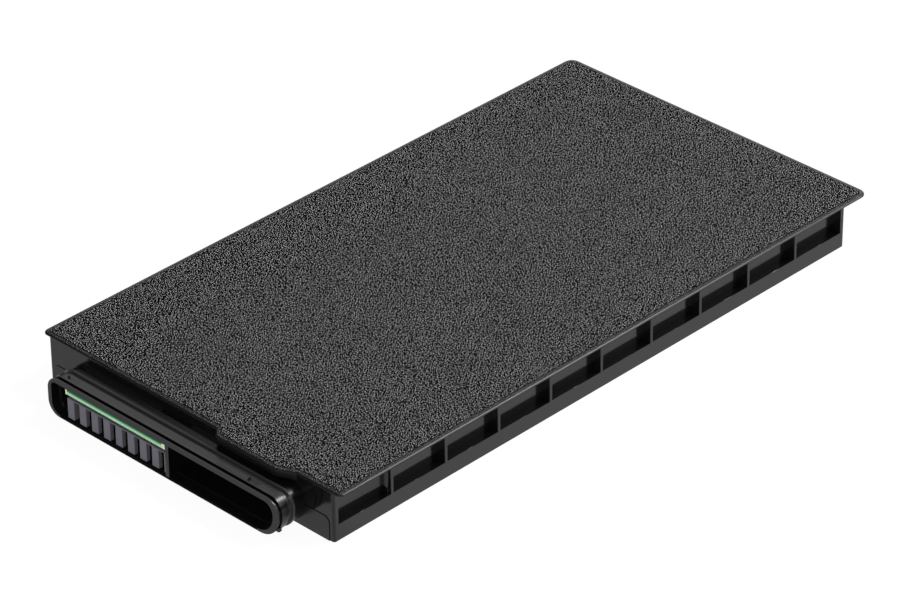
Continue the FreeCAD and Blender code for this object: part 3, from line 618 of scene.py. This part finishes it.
class BATTERY_OT_seal(bpy.types.Operator):
    """Makes the rubber seal: a flat band with one round bead, carried round the snout"""

    bl_idname = "battery.seal"
    bl_label = "Seal"

    def execute(self, context):
        front, back = SEAL_LOW[0], SEAL_HIGH[0]
        bead = back - BEAD_LENGTH
        band = SEAT_DEPTH - SEAL_THICKNESS
        profile = rounded_profile(
            [
                (front, SEAT_DEPTH),
                (front, band),
                (bead, band),
                (bead, -SEAL_STAND),
                (back, -SEAL_STAND),
                (back, SEAT_DEPTH),
            ],
            SEAL_PROFILE_RADII,
            SEAL_PROFILE_STEPS,
        )
        low = SEAL_LOW[1:] + SEAL_STAND
        high = SEAL_HIGH[1:] - SEAL_STAND
        path, normal = keyed_path(low, high, SEAL_CORNERS, SEAL_CORNER_STEPS)
        section = path[None] - profile[:, 1][:, None, None] * normal[None]
        along = np.repeat(profile[:, 0][:, None, None], len(path), 1)
        rings = np.concatenate([along, section], 2)
        piece = new_object("snout_band", mesh_from_loop("snout_band", rings))
        finish_piece(piece, nitrile_rubber(), "seal_rubber", "snout_seal")
        return {"FINISHED"}


class BATTERY_OT_connector(bpy.types.Operator):
    """Makes the circuit board, the blade socket and its contacts"""

    bl_idname = "battery.connector"
    bl_label = "Board and connector"

    def execute(self, context):
        piece = merged_copy("connector_housing", "blade_socket", sizes().post_round)
        plastic = satin_polymer("moulded_lcp", "connector", 0.4)
        finish_piece(piece, plastic, "connector_plastic", "connector_housing")
        finish_nodes(glass_laminate(), "protection_board")
        finish_nodes(bright_metal("gilt_bronze", "gilt", 0.25), "connector_contacts")
        return {"FINISHED"}


class BATTERY_OT_cells(bpy.types.Operator):
    """Finishes the cells and what holds them"""

    bl_idname = "battery.cells"
    bl_label = "Cells"

    def execute(self, context):
        finish_nodes(bright_metal("laminated_foil", "foil", 0.35), "cell_left", "cell_right")
        finish_nodes(bright_metal("nickel_strip", "nickel", 0.3), "cell_tabs", "tab_pads")
        finish_nodes(satin_polymer("polyimide_film", "film", 0.25), "insulating_sheet")
        finish_nodes(satin_polymer("coated_tape", "tape", 0.6), "cell_tape_left", "cell_tape_right")
        finish_nodes(satin_polymer("open_foam", "foam", 0.85), "foam_strip_left", "foam_strip_right")
        return {"FINISHED"}


class BATTERY_OT_circuit(bpy.types.Operator):
    """Finishes the components on the board"""

    bl_idname = "battery.circuit"
    bl_label = "Circuit"

    def execute(self, context):
        epoxy = satin_polymer("moulded_epoxy", "epoxy", 0.5)
        ceramic = satin_polymer("fired_ceramic", "ceramic", 0.4)
        finish_nodes(epoxy, "fuel_gauge_chip", "protection_mosfets", "sense_resistor")
        finish_nodes(ceramic, "overcharge_fuse", "chip_capacitors", "cell_thermistor")
        return {"FINISHED"}


# name, place and aim in metres, width and height in metres, watts
LAMPS = (
    ("softbox_right", (0.56, -0.3, 0.78), (0.0, 0.0, 0.0), (0.28, 0.28), 5.0),
    ("strip_low", (0.6, -0.74, 0.3), (-0.05, -0.02, 0.0), (0.1, 0.3), 1.5),
    ("fill_front", (-0.78, -0.45, 0.43), (-0.05, 0.0, 0.0), (0.2, 0.2), 3.0),
)


class BATTERY_OT_stage(bpy.types.Operator):
    """Sets the floor, the lights, the white surroundings and the camera"""

    bl_idname = "battery.stage"
    bl_label = "Stage"

    def execute(self, context):
        context.scene.view_settings.view_transform = "Standard"
        make_floor()
        make_world()
        for lamp in LAMPS:
            make_lamp(*lamp)
        make_camera()
        return {"FINISHED"}


def by_ray(tree, seen, mirrored, plain):
    """Level for rays from the camera, for mirrored rays and for the rest; each is a number or a socket."""
    path = add_node(tree, "ShaderNodeLightPath").outputs
    level = plain
    for kind, wanted in (("Is Glossy Ray", mirrored), ("Is Camera Ray", seen)):
        given = {2: level, 3: wanted}
        links = {0: path[kind]}
        links.update((socket, value) for socket, value in given.items() if not isinstance(value, float))
        values = [(socket, value) for socket, value in given.items() if isinstance(value, float)]
        level = add_node(tree, "ShaderNodeMix", links, values).outputs["Result"]
    return level


FLOOR_HALF = 3.0
FLOOR_DROP = -0.00004
# what mirrored rays see, painted into the floor's glow: along X a dim floor, the pack's painted shade before
# its snout, then a pale one, and along Y a bright strip far out, a painted pool of light
FLOOR_SHADE = -54.0
FLOOR_LIT = -46.0
FLOOR_DIM = 0.6
FLOOR_PALE = 0.87
FLOOR_NEAR = 38.0
FLOOR_FAR = 48.0
FLOOR_STRIP = 1.2
# what the camera sees: nine tenths of plain white, so that a tenth of the shaded paper shows
FLOOR_WHITE = 1.04
FLOOR_SHARE = 0.9


def make_floor():
    """Large white sheet just under the pack that keeps its shadow; mirrored, it glows darker before the snout
    as painted shade.
    """
    corners = np.array([(-1, -1), (1, -1), (1, 1), (-1, 1)]) * FLOOR_HALF
    points = np.column_stack([corners, np.full(4, FLOOR_DROP)])
    mesh = bpy.data.meshes.new("paper_floor")
    mesh.from_pydata(points.tolist(), [], [(0, 1, 2, 3)])
    floor = new_object("paper_floor", mesh)
    material = bpy.data.materials.new("white_paper")
    material.use_nodes = True
    tree = material.node_tree
    tree.nodes.clear()
    paper = add_node(tree, "ShaderNodeBsdfDiffuse", (), {"Color": linear("#f6f6f6")})
    place = add_node(tree, "ShaderNodeTexCoord").outputs["Object"]
    axes = add_node(tree, "ShaderNodeSeparateXYZ", {"Vector": place}).outputs
    before = add_node(
        tree,
        "ShaderNodeMapRange",
        {"Value": axes["X"]},
        {
            "From Min": FLOOR_SHADE * MM,
            "From Max": FLOOR_LIT * MM,
            "To Min": FLOOR_DIM,
            "To Max": FLOOR_PALE,
        },
    ).outputs["Result"]
    beside = add_node(
        tree,
        "ShaderNodeMapRange",
        {"Value": axes["Y"]},
        {"From Min": FLOOR_NEAR * MM, "From Max": FLOOR_FAR * MM, "To Min": 0.0, "To Max": FLOOR_STRIP},
    ).outputs["Result"]
    lit = add_node(tree, "ShaderNodeMath", {0: before, 1: beside}, operation="MAXIMUM").outputs["Value"]
    strength = by_ray(tree, FLOOR_WHITE, lit, 0.0)
    glow = add_node(tree, "ShaderNodeEmission", {"Strength": strength}, {"Color": (1, 1, 1, 1)})
    share = by_ray(tree, FLOOR_SHARE, 1.0, 0.0)
    both = add_node(
        tree,
        "ShaderNodeMixShader",
        {0: share, 1: paper.outputs["BSDF"], 2: glow.outputs["Emission"]},
    )
    add_node(tree, "ShaderNodeOutputMaterial", {"Surface": both.outputs["Shader"]})
    mesh.materials.append(material)


BACKDROP_WAY = (0.9, 0.0, 0.43)
BACKDROP_EDGE = (0.48, 0.72)
BACKDROP_LEVEL = (0.05, 0.92)
ROOM_LIGHT = 0.45


def make_world():
    """White to the camera, a pale backdrop in a dark room to mirrored rays, and dim as a light."""
    world = bpy.data.worlds.new("white_room")
    bpy.context.scene.world = world
    world.use_nodes = True
    tree = world.node_tree
    tree.nodes.clear()
    way = add_node(tree, "ShaderNodeTexCoord").outputs["Generated"]
    behind = add_node(
        tree, "ShaderNodeVectorMath", {0: way}, {1: BACKDROP_WAY}, operation="DOT_PRODUCT"
    ).outputs["Value"]
    backdrop = add_node(
        tree,
        "ShaderNodeMapRange",
        {"Value": behind},
        {
            "From Min": BACKDROP_EDGE[0],
            "From Max": BACKDROP_EDGE[1],
            "To Min": BACKDROP_LEVEL[0],
            "To Max": BACKDROP_LEVEL[1],
        },
        interpolation_type="SMOOTHSTEP",
    ).outputs["Result"]
    level = by_ray(tree, 1.0, backdrop, ROOM_LIGHT)
    background = add_node(tree, "ShaderNodeBackground", {"Strength": level}, {"Color": (1, 1, 1, 1)})
    add_node(tree, "ShaderNodeOutputWorld", {"Surface": background.outputs["Background"]})


def make_lamp(name, place, aim, size, power):
    """Soft rectangular lamp at a place, turned to an aim, in metres and watts."""
    lamp = bpy.data.lights.new(name, "AREA")
    lamp.shape = "RECTANGLE"
    lamp.size, lamp.size_y = size
    lamp.energy = power
    holder = bpy.data.objects.new(name, lamp)
    bpy.context.scene.collection.objects.link(holder)
    way = Vector(aim) - Vector(place)
    holder.matrix_world = Matrix.Translation(place) @ way.to_track_quat("-Z", "Y").to_matrix().to_4x4()


CAMERA_AIM = Vector((-1.892, -1.3015, 4.0)) * MM
CAMERA_DISTANCE = 655.57 * MM
CAMERA_AZIMUTH = math.radians(-45.475)
CAMERA_ELEVATION = math.radians(31.983)
CAMERA_ROLL = math.radians(-0.541)
CAMERA_LENS = 180.5


def make_camera():
    """Long lens at the photograph's angle; right, up and back are the camera's own axes."""
    az, el = CAMERA_AZIMUTH, CAMERA_ELEVATION
    back = Vector((math.sin(az) * math.cos(el), -math.cos(az) * math.cos(el), math.sin(el)))
    level = Vector((math.cos(az), math.sin(az), 0))
    right = level * math.cos(CAMERA_ROLL) + back.cross(level) * math.sin(CAMERA_ROLL)
    up = back.cross(right)
    lens = bpy.data.cameras.new("camera")
    lens.lens = CAMERA_LENS
    lens.clip_start = 0.01
    camera = bpy.data.objects.new("camera", lens)
    bpy.context.scene.collection.objects.link(camera)
    turn = Matrix((right, up, back)).transposed().to_4x4()
    camera.matrix_world = Matrix.Translation(CAMERA_AIM + back * CAMERA_DISTANCE) @ turn
    bpy.context.scene.camera = camera


OPERATORS = (
    BATTERY_OT_cover,
    BATTERY_OT_tray,
    BATTERY_OT_snout,
    BATTERY_OT_seal,
    BATTERY_OT_connector,
    BATTERY_OT_cells,
    BATTERY_OT_circuit,
    BATTERY_OT_stage,
)


class BATTERY_PT_panel(bpy.types.Panel):
    """Lists the operators and the settings"""

    bl_label = "Tablet battery"
    bl_space_type = "VIEW_3D"
    bl_region_type = "UI"
    bl_category = "Battery"

    def draw(self, context):
        layout = self.layout
        for operator in OPERATORS:
            layout.operator(operator.bl_idname)
        for group in (context.scene.battery_sizes, context.scene.battery_colours):
            for name in group.__annotations__:
                layout.prop(group, name)


CLASSES = (BatterySizes, BatteryColours, *OPERATORS, BATTERY_PT_panel)


def register():
    for cls in CLASSES:
        bpy.utils.register_class(cls)
    bpy.types.Scene.battery_sizes = PointerProperty(type=BatterySizes)
    bpy.types.Scene.battery_colours = PointerProperty(type=BatteryColours)


def unregister():
    del bpy.types.Scene.battery_colours
    del bpy.types.Scene.battery_sizes
    for cls in reversed(CLASSES):
        bpy.utils.unregister_class(cls)


def main():
    register()
    for operator in OPERATORS:
        group, name = operator.bl_idname.split(".")
        getattr(getattr(bpy.ops, group), name)()


if __name__ == "__main__":
    main()
